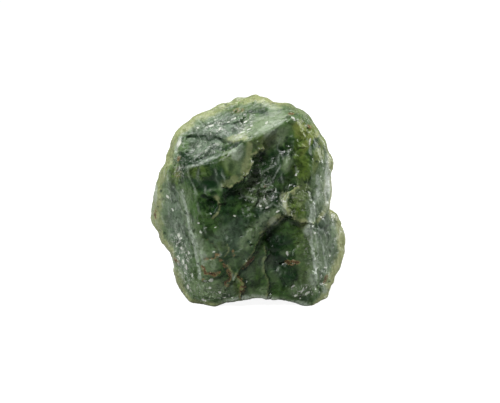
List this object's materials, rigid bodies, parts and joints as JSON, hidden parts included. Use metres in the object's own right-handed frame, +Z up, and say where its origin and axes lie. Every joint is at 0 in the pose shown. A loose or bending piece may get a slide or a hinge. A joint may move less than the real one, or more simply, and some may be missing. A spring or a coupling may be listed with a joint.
{
  "type": "raw jade stone",
  "caption": "Raw lump of green nephrite jade with broken faces, a deep flaked hollow, pale thin rims and a flat underside to rest on",
  "frame": {"origin": "centre of the bounding box in X and Y, on the ground plane that the underside rests on", "axes": "+X to the stone's right seen from the front, +Y away from the front, +Z up"},
  "size_m": [0.0689, 0.0478, 0.0661],
  "materials": {
    "jade": "waxy broken stone"
  },
  "bodies": {
    "root": {"jade_boulder": "jade"}
  },
  "joints": []
}
